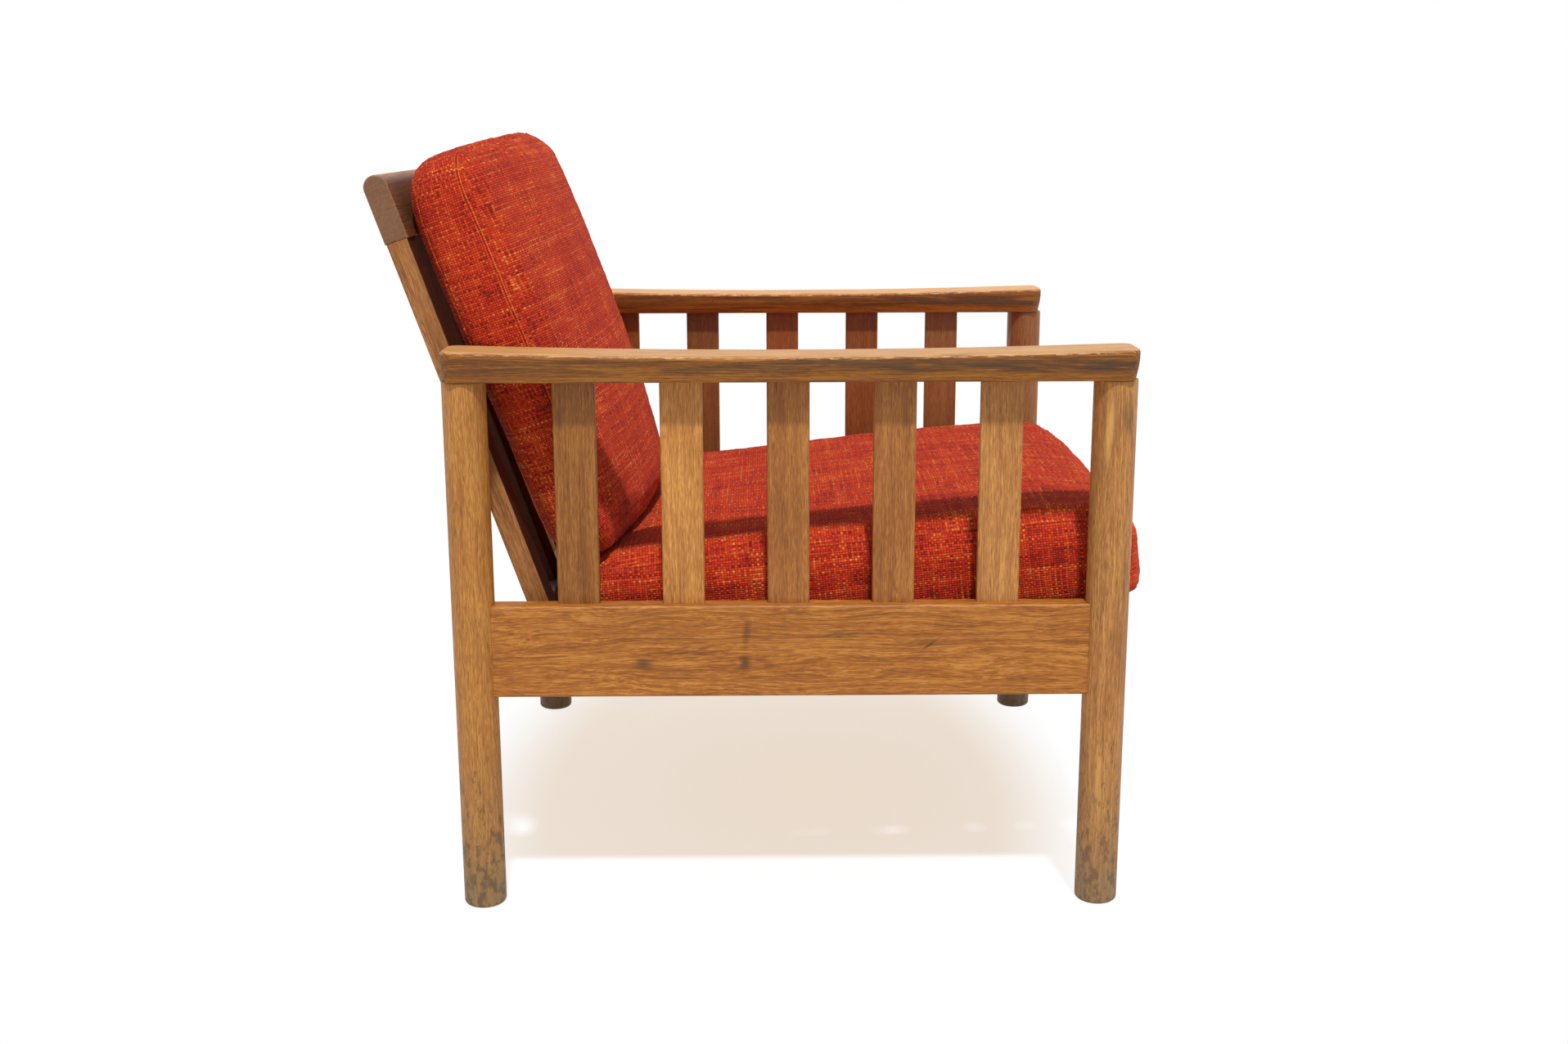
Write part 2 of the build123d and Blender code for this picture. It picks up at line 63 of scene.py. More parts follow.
def paint(name, default):
    """A colour that the user may change."""
    return bpy.props.FloatVectorProperty(
        name=name, description=f"Colour of the {name.lower()}", default=linear(default),
        subtype="COLOR", size=3, min=0, max=1)


def length(name, description, default):
    """A length that the user may change."""
    return bpy.props.FloatProperty(
        name=name, description=description, default=default, subtype="DISTANCE", unit="LENGTH")


class ChairOakColours(bpy.types.PropertyGroup):
    """Colours of the oiled oak."""

    honey: paint("Oak's middle tone", "#A36630")
    pale: paint("Oak's pale streaks", "#BE8446")
    brown: paint("Oak's dark growth bands", "#7D4A20")
    pore: paint("Open pores", "#4C2A14")
    # Painted shade and painted red bounce light, over unbleached oil, on the inner faces
    inside: paint("Unbleached inner faces", "#7C3A1C")
    grime: paint("Ingrained grime", "#463526")
    dust: paint("Floor dust", "#7C664A")
    # Painted highlight: the pale strips down the right front leg
    rubbed: paint("Rubbed edges", "#D69A58")
    # Also the painted highlight on the armrest's top and upper edge
    bleached: paint("Bleached tops", "#EBBE8E")


class ChairClothColours(bpy.types.PropertyGroup):
    """Colours of the yarns in the tweed."""

    maroon: paint("Maroon yarn", "#74150F")
    red: paint("Red yarn", "#BE2A17")
    orange: paint("Orange yarn", "#D9491B")
    amber: paint("Amber slubs", "#F0893A")
    thread: paint("Seam thread", "#E8702C")


class ChairClothSizes(bpy.types.PropertyGroup):
    """Sizes of the cushions and their weave."""

    weft_pitch: length("Weft pitch", "Distance from one weft yarn to the next", 0.0024)
    warp_pitch: length("Warp pitch", "Distance from one warp yarn to the next", 0.0029)
    seam_depth: length("Seam depth", "How far a seam pulls the cover in", 0.0016)
    swell: length("Swell", "How far the filling pushes a panel out", 0.0042)
    voxel: length("Mesh size", "Edge length of the simulated cover", 0.0074)


class ChairStage(bpy.types.PropertyGroup):
    """Light and floor."""

    sun_strength: bpy.props.FloatProperty(
        name="Sun strength", description="Strength of the main lamp", default=2.9)
    sun_height: bpy.props.FloatProperty(
        name="Sun height", description="Height of the main lamp over the horizon",
        default=math.radians(63), subtype="ANGLE", unit="ROTATION")
    sky: bpy.props.FloatProperty(
        name="Sky", description="Strength of the even light from all round", default=0.42)
    floor_shade: bpy.props.FloatProperty(
        name="Floor shading", description="Share of real shading in the white floor", default=1.0)


def start_material(name, view_colour):
    """An empty node material, its view colour set."""
    material = bpy.data.materials.new(name)
    material.use_nodes = True
    material.diffuse_color = (*view_colour, 1)
    tree = material.node_tree
    tree.nodes.clear()
    return material, tree


def add(tree, kind, inputs=None, operation=None, stops=(), **settings):
    """Adds a shader node of this kind, with settings on it, values or links on its inputs and colours
    along its ramp. A node given as a value stands for its first output."""
    made = tree.nodes.new(f"ShaderNode{kind}")
    if operation:
        made.operation = operation
    for key, value in settings.items():
        setattr(made, key, value)
    for number, (place, colour) in enumerate(stops):
        if number == len(made.color_ramp.elements):
            made.color_ramp.elements.new(place)
        made.color_ramp.elements[number].position = place
        made.color_ramp.elements[number].color = (*colour, 1)
    for key, value in (inputs or {}).items():
        if isinstance(value, bpy.types.Node):
            value = value.outputs["Result"] if value.type == "MIX" else value.outputs[0]
        if isinstance(value, bpy.types.NodeSocket):
            tree.links.new(value, made.inputs[key])
        else:
            made.inputs[key].default_value = value
    return made


# A range that starts and ends softly
SMOOTH = {"interpolation_type": "SMOOTHSTEP"}


class Finish:
    """A material that is built up layer by layer."""

    def __init__(self, name, colours, view_colour):
        self.material, tree = start_material(name, view_colour)
        self.add = partial(add, tree)
        self.colours = colours

    def lay_over(self, share, colour, how="MIX"):
        """Lays a colour over the top layer."""
        self.top = self.add("Mix", {
            "Factor": share, "A": self.top, "B": (*colour, 1)}, data_type="RGBA", blend_type=how)

    def away_from(self, middle, value):
        """How far a value lies from this middle."""
        gap = self.add("Math", {0: value, 1: middle}, "SUBTRACT")
        return self.add("Math", {0: gap}, "ABSOLUTE")


# Oak: an open-pored hardwood, planed, sanded and oiled. The eye sees wavering growth bands a few
# millimetres apart, fine pale streaks, short dark pores along the grain, and a satin gloss.
# Each layer's pair is its width across the grain and its length along it, in metres. Real pores are
# 0.3 mm wide and are drawn coarser, to show in the render.
RING_SPACING = 0.0052
DRIFT = (0.075, 0.30)
RIPPLE = (0.028, 0.10)
STREAK = (0.0014, 0.080)
FLAME = (0.0065, 0.12)
FLECK = (0.0011, 0.011)
PORE = (0.0007, 0.010)
TONE_PATCH = (0.0385, 0.154)

# How far drift and ripple bend the grain, and where the heart of the tree lies from a board
DRIFT_REACH = 0.020
RIPPLE_REACH = 0.0060
HEART = (0.071, 0.043, 0)
TAPER = (1, 1, 0.05)

# How much each layer tells in the tone. A board's figure multiplies its streaks, flames and rings.
STREAK_SHARE = 1.35
FLAME_SHARE = 0.42
FLECK_SHARE = 0.90
PATCH_SHARE = 0.55
LATE_WOOD_SHARE = -0.16
TONE_MIDDLE = 0.36
TONE_CONTRAST = 0.75

# Share of the pores in early wood, and what late wood takes from it
PORES_EARLY = 0.95
PORES_LOST = -0.6
PORE_DARKNESS = 0.5

GRAIN_TURNS = {
    "upright": (0, 0, 0),
    "lengthwise": (math.radians(90), 0, 0),
    "crosswise": (0, math.radians(-90), 0),
    "leaning": (BACK_LEAN, 0, 0),
}

# Heights in metres: grime fades out between the first two, and dust lies below the third
FOOT_CLEAN = 0.25
FOOT_DIRTY = 0.01
FOOT_BASE = 0.085
FOOT_BLOT = (0.0075, 0.015)

# An armrest: the height of its crease and the tilt of the faces along its upper edge
CREASE_HEIGHT = 0.5745
EDGE_TILT = 0.42
HAND_PATCH = (0.007, 0.075)
EDGE_FLECK = (0.0018, 0.012)

# Tints that multiply the wood: of the inner faces, for unbleached oil and painted shade, and of what
# the back cushion covers, for painted shade
SHELTERED = "#BC8868"
COVERED = "#54382A"

PLAIN_HUE = 0.5
PLAIN_GLOSS = 0.5


class Oak(Finish):
    """The material of one board."""

    def __init__(self, name, grain, offset):
        colours = bpy.context.scene.chair_oak
        super().__init__(name, colours, colours.honey)
        self.grain = grain
        self.normal = self.add("NewGeometry").outputs["Normal"]
        self.place = self.add("TexCoord").outputs["Object"]
        self.board = self.add("Mapping", {
            "Vector": self.place, "Rotation": GRAIN_TURNS[grain], "Location": offset})

    def grain_noise(self, source, size, detail, roughness=0.55):
        """Noise of this width and length along the grain."""
        width, run = size
        place = self.add("Mapping", {"Vector": source, "Scale": (1 / width, 1 / width, 1 / run)})
        return self.add("TexNoise", {
            "Vector": place, "Scale": 1.0, "Detail": detail, "Roughness": roughness})

    def lay_grain(self, waver, figure):
        """Bent grain with its rings, streaks and pores."""
        bent = self.board
        for size, reach, detail in ((DRIFT, DRIFT_REACH, 2.0), (RIPPLE, RIPPLE_REACH, 1.0)):
            shift = self.grain_noise(self.board, size, detail)
            shift = self.add("VectorMath", {0: shift.outputs["Color"], 1: (0.5, 0.5, 0.5)}, "SUBTRACT")
            bent = self.add("VectorMath", {
                0: shift, 1: (reach * waver, reach * waver, 0), 2: bent}, "MULTIPLY_ADD")

        heart = self.add("VectorMath", {0: bent, 1: TAPER, 2: HEART}, "MULTIPLY_ADD")
        radius = self.add("VectorMath", {0: heart}, "LENGTH").outputs["Value"]
        year = self.add("Math", {0: radius, 1: 1 / RING_SPACING}, "MULTIPLY")
        ring = self.add("Math", {0: year}, "FRACT")
        late_wood = self.add("MapRange", {"Value": ring, "From Min": 0.2, "From Max": 1.0}, **SMOOTH)

        # The streaks and flames lie round 0.5, so a livelier figure doesn't shift the tone's middle
        streaks = self.grain_noise(bent, STREAK, 4.0, 0.62)
        tone = TONE_MIDDLE - figure * (STREAK_SHARE + FLAME_SHARE) / 2
        for layer, share in (
                (streaks, STREAK_SHARE * figure),
                (self.grain_noise(bent, FLECK, 2.0), FLECK_SHARE),
                (self.grain_noise(bent, FLAME, 1.0), FLAME_SHARE * figure),
                (self.grain_noise(self.board, TONE_PATCH, 3.0), PATCH_SHARE),
                (late_wood, LATE_WOOD_SHARE * figure)):
            tone = self.add("Math", {0: layer, 1: share, 2: tone}, "MULTIPLY_ADD")
        tone = self.add("Math", {0: tone, 1: TONE_CONTRAST}, "MULTIPLY")
        self.top = self.add("ValToRGB", {"Fac": tone}, stops=[
            (0.52, self.colours.brown), (0.76, self.colours.honey), (0.96, self.colours.pale)])

        pores = self.grain_noise(bent, PORE, 1.0)
        open_pore = self.add("MapRange", {"Value": pores, "From Min": 0.57, "From Max": 0.70})
        in_rows = self.add("Math", {0: late_wood, 1: PORES_LOST, 2: PORES_EARLY}, "MULTIPLY_ADD")
        self.pores = self.add("Math", {0: open_pore, 1: in_rows}, "MULTIPLY")
        share = self.add("Math", {0: self.pores, 1: PORE_DARKNESS}, "MULTIPLY")
        self.lay_over(share, self.colours.pore)
        self.bent, self.streaks = bent, streaks

    def darken_ends(self):
        """End grain drinks more oil."""
        turned = self.add("Mapping", {
            "Vector": self.normal, "Rotation": GRAIN_TURNS[self.grain]}, vector_type="POINT")
        along = self.add("SeparateXYZ", {0: turned}).outputs["Z"]
        along = self.add("Math", {0: along}, "ABSOLUTE")
        share = self.add("MapRange", {
            "Value": along, "From Min": 0.7, "From Max": 0.98, "To Max": 0.62}, **SMOOTH)
        self.lay_over(share, self.colours.brown)
        self.top = self.add("HueSaturation", {
            "Color": self.top, "Saturation": 0.8, "Value": 0.62, "Fac": share})

    def shelter(self, inward, amount):
        """Faces towards the chair's middle kept the dark red of the first oil, and painted shade and
        painted red light bounced from the cushions darken them further.
        """
        side = self.add("SeparateXYZ", {0: self.normal}).outputs["X"]
        side = self.add("Math", {0: side, 1: inward}, "MULTIPLY")
        share = self.add("MapRange", {
            "Value": side, "From Min": 0.15, "From Max": 0.75, "To Max": amount}, **SMOOTH)
        # Painted shade and painted red bounce light on the inner faces, over the oil's real red
        clean = self.top
        self.lay_over(1.0, linear(SHELTERED), "MULTIPLY")
        self.lay_over(0.5, self.colours.inside)
        self.top = self.add("Mix", {"Factor": share, "A": clean, "B": self.top}, data_type="RGBA")

    def cover(self, start, end, amount):
        """Painted shade: faces that the back cushion hides are darkened."""
        forward = (0, -math.cos(BACK_LEAN), math.sin(BACK_LEAN))
        front = self.add("VectorMath", {0: self.normal, 1: forward}, "DOT_PRODUCT")
        share = self.add("MapRange", {
            "Value": front.outputs["Value"], "From Min": start, "From Max": end, "To Max": amount})
        self.lay_over(share, linear(COVERED), "MULTIPLY")

    def soil_foot(self, amount):
        """Floor grime: dust near the floor, and blots and a thin veil above it."""
        height = self.add("SeparateXYZ", {0: self.place}).outputs["Z"]
        low = self.add("MapRange", {
            "Value": height, "From Min": FOOT_CLEAN, "From Max": FOOT_DIRTY}, **SMOOTH)
        base = self.add("MapRange", {
            "Value": height, "From Min": FOOT_BASE, "From Max": 0.0, "To Max": 0.6}, **SMOOTH)
        blots = self.grain_noise(self.board, FOOT_BLOT, 5.0, 0.7)
        raised = self.add("Math", {0: low, 1: 0.17, 2: blots}, "MULTIPLY_ADD")
        blot = self.add("MapRange", {"Value": raised, "From Min": 0.63, "From Max": 0.74})
        veil = self.add("Math", {0: low, 1: 0.45 * amount}, "MULTIPLY")
        blot = self.add("Math", {0: blot, 1: 0.75 * amount}, "MULTIPLY")
        self.lay_over(veil, self.colours.dust)
        self.lay_over(base, self.colours.dust)
        self.lay_over(blot, self.colours.grime)

    def stain(self, colour, y, z, half_length, half_height, turn, strength):
        """One mark on the outer face, its edge broken up by the grain. Marks are old stains, and pale
        strips of painted highlight on the front leg.
        """
        spot = self.add("Mapping", {
            "Vector": self.place, "Location": (0, y, z), "Rotation": (turn, 0, 0),
            "Scale": (1000, half_length, half_height)}, vector_type="TEXTURE")
        away = self.add("VectorMath", {0: spot}, "LENGTH").outputs["Value"]
        ragged = self.add("Math", {0: self.streaks, 1: 1.3, 2: away}, "MULTIPLY_ADD")
        share = self.add("MapRange", {
            "Value": ragged, "From Min": 1.55, "From Max": 0.75, "To Max": strength}, **SMOOTH)
        self.lay_over(share, getattr(self.colours, colour))

    def handle(self):
        """Hands on an armrest: a top pale from bleaching, grime along the crease, and pale flecks on
        the edge. The top's brightening and the flecks are also painted highlight.
        """
        up = self.add("SeparateXYZ", {0: self.normal}).outputs["Z"]
        place = self.add("SeparateXYZ", {0: self.place})
        # Up-facing faces get the pale colour and a brightening: bleaching, and painted highlight
        ragged = self.add("Math", {0: self.streaks, 1: 1.1, 2: up}, "MULTIPLY_ADD")
        top = self.add("MapRange", {"Value": ragged, "From Min": 0.95, "From Max": 1.45}, **SMOOTH)
        share = self.add("Math", {0: self.streaks, 1: 1.2, 2: -0.08}, "MULTIPLY_ADD")
        share = self.add("Math", {0: share, 1: top}, "MULTIPLY", use_clamp=True)
        self.lay_over(share, self.colours.bleached)
        self.top = self.add("HueSaturation", {"Color": self.top, "Value": 1.32, "Fac": top})

        patches = self.grain_noise(self.bent, HAND_PATCH, 4.0, 0.66)
        patch = self.add("MapRange", {"Value": patches, "From Min": 0.38, "From Max": 0.56})
        forward = self.add("MapRange", {
            "Value": place.outputs["Y"], "From Min": 0.30, "From Max": -0.22, "To Min": 0.30})
        away = self.away_from(CREASE_HEIGHT, place.outputs["Z"])
        crease = self.add("MapRange", {
            "Value": away, "From Min": 0.0105, "From Max": 0.002, "To Max": 0.85}, **SMOOTH)
        share = self.add("Math", {0: crease, 1: patch}, "MULTIPLY")
        share = self.add("Math", {0: share, 1: forward}, "MULTIPLY")
        self.lay_over(share, self.colours.grime)

        # Pale flecks along the upper edge: wear, and painted highlight on the ridge
        flecks = self.grain_noise(self.bent, EDGE_FLECK, 3.0, 0.7)
        fleck = self.add("MapRange", {
            "Value": flecks, "From Min": 0.50, "From Max": 0.60, "To Max": 0.9})
        edge = self.away_from(EDGE_TILT, up)
        edge = self.add("MapRange", {"Value": edge, "From Min": 0.40, "From Max": 0.12})
        share = self.add("Math", {0: edge, 1: fleck}, "MULTIPLY")
        self.lay_over(share, self.colours.bleached)

    def finish(self, tone, saturation, hue, gloss):
        """The board's own tone, its relief and its oiled surface."""
        wood = self.add("HueSaturation", {
            "Color": self.top, "Hue": hue, "Value": tone, "Saturation": saturation})
        pits = self.add("Math", {0: self.pores, 1: -0.9}, "MULTIPLY")
        relief = self.add("Math", {0: self.streaks, 1: 0.5, 2: pits}, "MULTIPLY_ADD")
        bump = self.add("Bump", {"Height": relief, "Strength": 0.5, "Distance": 0.0003})
        satin = self.add("MapRange", {"Value": self.streaks, "To Min": 0.45, "To Max": 0.62})
        shader = self.add("BsdfPrincipled", {
            "Base Color": wood, "Roughness": satin, "Normal": bump, "IOR": 1.48,
            "Specular IOR Level": gloss})
        self.add("OutputMaterial", {"Surface": shader})
        return self.material


def wear(node, material):
    """Gives a node of the frame its finish."""
    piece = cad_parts[node]
    for slot in piece.material_slots:
        slot.material = material
    if not piece.material_slots:
        piece.data.materials.append(material)


# Grain, tone on the right and on the left, saturation, waver and figure of each board. The low right
# tone of side_slat_1 is painted shade.
SIDE_BOARDS = {
    "front_leg": ("upright", 1.07, 1.0, 0.98, 0.8, 0.7),
    "rear_leg": ("upright", 1.06, 1.0, 1.02, 0.7, 0.55),
    "armrest": ("lengthwise", 0.66, 0.84, 1.12, 0.6, 1.5),
    "side_rail": ("lengthwise", 0.99, 0.9, 1.06, 1.5, 1.05),
    # Low right tone: painted shade over this slat
    "side_slat_1": ("upright", 0.65, 0.9, 1.06, 0.4, 0.8),
    "side_slat_2": ("upright", 1.28, 0.8, 1.0, 0.4, 0.6),
    "side_slat_3": ("upright", 0.86, 1.0, 1.03, 0.4, 0.5),
    "side_slat_4": ("upright", 0.86, 0.85, 1.03, 0.4, 0.6),
    "side_slat_5": ("upright", 1.16, 0.95, 0.98, 0.4, 0.6),
    "seat_bearer": ("lengthwise", 0.9, 0.9, 1.0, 0.5, 0.7),
    "back_stile": ("leaning", 0.80, 0.85, 1.0, 0.5, 0.7),
    "back_spacer": ("crosswise", 0.9, 0.9, 1.0, 0.5, 0.7),
}

# Grain, tone, saturation, waver and figure
CROSS_BOARDS = {
    "front_rail": ("crosswise", 1.0, 1.0, 1.2, 1.0),
    "rear_rail": ("crosswise", 0.9, 1.0, 1.2, 1.0),
    "crest_rail": ("crosswise", 0.88, 0.96, 1.0, 0.9),
    "back_bottom_rail": ("crosswise", 0.9, 1.0, 0.8, 0.8),
    "back_slat_1": ("leaning", 0.92, 1.0, 0.5, 0.6),
    "back_slat_2": ("leaning", 1.02, 1.0, 0.5, 0.5),
    "back_slat_3": ("leaning", 0.86, 1.0, 0.5, 0.6),
    "back_slat_4": ("leaning", 0.97, 1.0, 0.5, 0.5),
}

# From one board's wood to the next one's, so that no two are alike
BOARD_STEP = Vector((0.613, -0.227, 1.042))

# Boards whose oil has yellowed more than the others'
YELLOWED_BOARDS = ("front_leg", "rear_leg", "side_slat_2", "side_slat_5")
YELLOWED_HUE = 0.508

# Slats behind the back cushion were never rubbed to a gloss
DULL_GLOSS = 0.2

# Shares of the first oil's red with painted shade on inner faces, and of grime on the feet
SHELTER, ARM_SHELTER = 0.7, 0.4
FOOT_GRIME = {"rear_leg": 0.9, "front_leg": 0.75}

# Painted shade under the back cushion: how far forward, from -1 to 1, a face looks where it starts
# and where it is full, and its share there
OLD_OIL = {
    "back_stile": (0.6, 0.95, 0.95), "crest_rail": (0.6, 0.95, 0.6),
    "back_bottom_rail": (-0.7, -0.3, 0.95), "back_slat": (-0.7, -0.3, 0.95)}

# Marks on the right side, old stains and the front leg's pale strips of painted highlight: colour, Y,
# Z, half length and half height in metres, turn and strength
MARKS = {
    "side_rail": [
        ("pore", 0.0241, 0.298, 0.0070, 0.023, 0.1, 0.62),
        ("pore", 0.0260, 0.267, 0.0100, 0.012, 0.0, 0.85),
        ("pore", 0.1293, 0.2665, 0.0180, 0.009, 0.0, 0.80),
        ("pore", -0.0705, 0.296, 0.0420, 0.008, 0.0, 0.50),
        ("pore", 0.0678, 0.278, 0.0360, 0.0050, 0.0, 0.35),
        ("pore", -0.1637, 0.285, 0.0150, 0.0018, -0.6, 0.95)],
    "front_leg": [
        ("grime", -0.3560, 0.520, 0.0120, 0.034, 0.0, 0.50),
        ("grime", -0.3600, 0.360, 0.0050, 0.050, 0.0, 0.30),
        # Pale strips of painted highlight on the turned leg
        ("rubbed", -0.3380, 0.510, 0.0055, 0.050, 0.05, 0.70),
        ("rubbed", -0.3400, 0.140, 0.0050, 0.070, 0.0, 0.35)]}


class CHAIR_OT_dress_oak(bpy.types.Operator):
    """Gives every oak board its own grain, tone and wear, with painted shade and painted highlight"""

    bl_idname = "chair.dress_oak"
    bl_label = "Dress the oak"

    def execute(self, context):
        boards = [(side, board) for side in ("right", "left") for board in SIDE_BOARDS]
        boards += [("", board) for board in CROSS_BOARDS]
        for count, (side, board) in enumerate(boards, start=1):
            if side:
                grain, right_tone, left_tone, *surface = SIDE_BOARDS[board]
                tone, name = right_tone if side == "right" else left_tone, f"{side}_{board}"
            else:
                (grain, tone, *surface), name = CROSS_BOARDS[board], board
            saturation, waver, figure = surface
            oak = Oak(f"oiled_oak_{name}", grain, BOARD_STEP * count)
            oak.lay_grain(waver, figure)
            oak.darken_ends()
            self.age(oak, side, board)
            hue = YELLOWED_HUE if board in YELLOWED_BOARDS else PLAIN_HUE
            gloss = DULL_GLOSS if board.startswith("back_slat") else PLAIN_GLOSS
            wear(name, oak.finish(tone, saturation, hue, gloss))
        return {"FINISHED"}

    def age(self, oak, side, board):
        """Lays the wear, painted shade and painted highlight of one board over its wood."""
        kind = board.rstrip("_1234")
        if side:
            # Inner faces: unbleached oil, painted shade and painted red bounce light
            oak.shelter(1 if side == "right" else -1, ARM_SHELTER if board == "armrest" else SHELTER)
        # Painted shade on faces that the back cushion hides
        if kind in OLD_OIL:
            oak.cover(*OLD_OIL[kind])
        if board in FOOT_GRIME:
            oak.soil_foot(FOOT_GRIME[board])
        if board == "armrest":
            oak.handle()
        if side == "right":
            for mark in MARKS.get(board, ()):
                oak.stain(*mark)


# Webbing: natural rubber bonded to woven cord and cut from a roll. Dull, with fine ribs along the strap
# and pale dust. The rib's size is in metres.
WEBBING_RIB = 0.0022
DUST_PER_METRE = 60.0


def rubber_webbing():
    material, tree = start_material("rubber_webbing_calendered", linear("#2A2521"))
    place = add(tree, "TexCoord").outputs["Object"]
    across = add(tree, "SeparateXYZ", {0: place}).outputs["Y"]
    ribs = add(tree, "Math", {0: across, 1: 2 * math.pi / WEBBING_RIB}, "MULTIPLY")
    ribs = add(tree, "Math", {0: ribs}, "SINE")
    dust = add(tree, "TexNoise", {"Vector": place, "Scale": DUST_PER_METRE, "Detail": 4.0})
    colour = add(tree, "ValToRGB", {"Fac": dust}, stops=[
        (0.35, linear("#1F1B18")), (0.7, linear("#3B342D"))])
    bump = add(tree, "Bump", {"Height": ribs, "Strength": 0.6, "Distance": 0.0004})
    shader = add(tree, "BsdfPrincipled", {
        "Base Color": colour, "Roughness": 0.78, "Normal": bump, "IOR": 1.52})
    add(tree, "OutputMaterial", {"Surface": shader})
    return material


# Zinc plated steel: turned and pressed, dulled by age to a soft grey with darker breath marks
BREATH_PER_METRE = 220.0


def zinc_steel():
    material, tree = start_material("steel_zinc_plated", linear("#A9A6A0"))
    place = add(tree, "TexCoord").outputs["Object"]
    breath = add(tree, "TexNoise", {"Vector": place, "Scale": BREATH_PER_METRE, "Detail": 3.0})
    colour = add(tree, "ValToRGB", {"Fac": breath}, stops=[
        (0.35, linear("#7E7B76")), (0.65, linear("#B9B6B0"))])
    rough = add(tree, "MapRange", {"Value": breath, "To Min": 0.32, "To Max": 0.55})
    shader = add(tree, "BsdfPrincipled", {"Base Color": colour, "Roughness": rough, "Metallic": 1.0})
    add(tree, "OutputMaterial", {"Surface": shader})
    return material


class CHAIR_OT_dress_fittings(bpy.types.Operator):
    """Gives the webbing its rubber and the screws, bolts and clips their zinc"""

    bl_idname = "chair.dress_fittings"
    bl_label = "Dress webbing and fittings"

    def execute(self, context):
        rubber, steel = rubber_webbing(), zinc_steel()
        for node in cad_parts:
            if node.startswith("seat_strap"):
                wear(node, rubber)
        for node in ("strap_clips", "bearer_screws", "back_side_bolts", "back_foot_screws"):
            wear(node, steel)
        return {"FINISHED"}


# Wool tweed: thick slubbed weft over a thinner warp, loom-woven. It is matt and hairy, its rows stand
# proud of each other, and its yarns run from maroon to amber, streaked both ways. Sizes are in metres.
# Pitches and hairs are coarser than real ones, to show in the render.
PATCH_SIZE = 0.055
FLECK_SIZE = 0.0013
STITCH = 0.0055
HAIRS_PER_METRE = 1500.0

# The rows wander by this many cells, in bends of this many to the metre
WANDER_CELLS = 1.6
WANDER_PER_METRE = 22.0

# A yarn's slub in metres, what keeps its noise apart, and how much the tones of single yarns differ
WEFT_YARN = (0.030, 0.0, 0.36)
WARP_YARN = (0.045, 57.5, 0.20)
YARN_STEP = 7.31

# What makes up a yarn's shade, from 0, maroon, to 1, amber
SLUB_SHARE = 0.98
YARN_MIDDLE = 0.17
CLOTH_PATCH_SHARE = 0.45
CELL_SHARE = 0.17
SHADE_SHIFT = 0.40

# Lines along the crowned seam, the gully's being painted shade: middle and half width in millimetres,
# and strength
GULLY_LINES = ((-1.7, 0.9, 0.60), (2.0, 0.6, 0.30))
THREAD_LINES = ((0.2, 0.7, 1.0), (-4.2, 0.6, 0.4))


